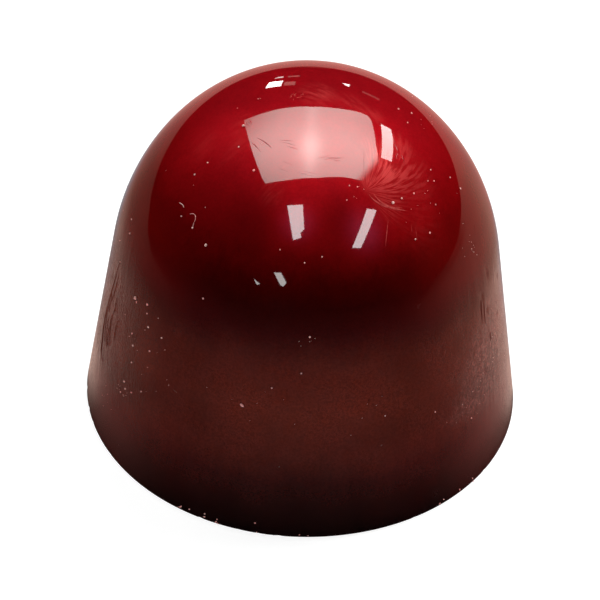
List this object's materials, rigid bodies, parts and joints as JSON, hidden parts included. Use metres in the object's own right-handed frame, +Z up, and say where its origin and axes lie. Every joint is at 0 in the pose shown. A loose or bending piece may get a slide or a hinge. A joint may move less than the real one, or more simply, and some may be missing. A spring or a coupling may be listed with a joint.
{
  "type": "chocolate praline",
  "caption": "Moulded chocolate praline: a smooth glossy dome on a gently tapering round wall, with a flat base it stands on.",
  "frame": {"origin": "centre of the flat base that the praline stands on", "axes": "+Z up along the axis of turning, from the base to the top of the dome; X and Y lie in the base and are alike, with -Y the side shown to the viewer"},
  "size_m": [0.028, 0.028, 0.0236],
  "materials": {
    "shell": "polished red cocoa butter on the dome, thinning to satin dark chocolate down the wall",
    "crumbs": "dry pale specks, flakes and hairs of cocoa butter lying on the shell"
  },
  "bodies": {
    "root": {"praline": "shell"}
  },
  "joints": []
}
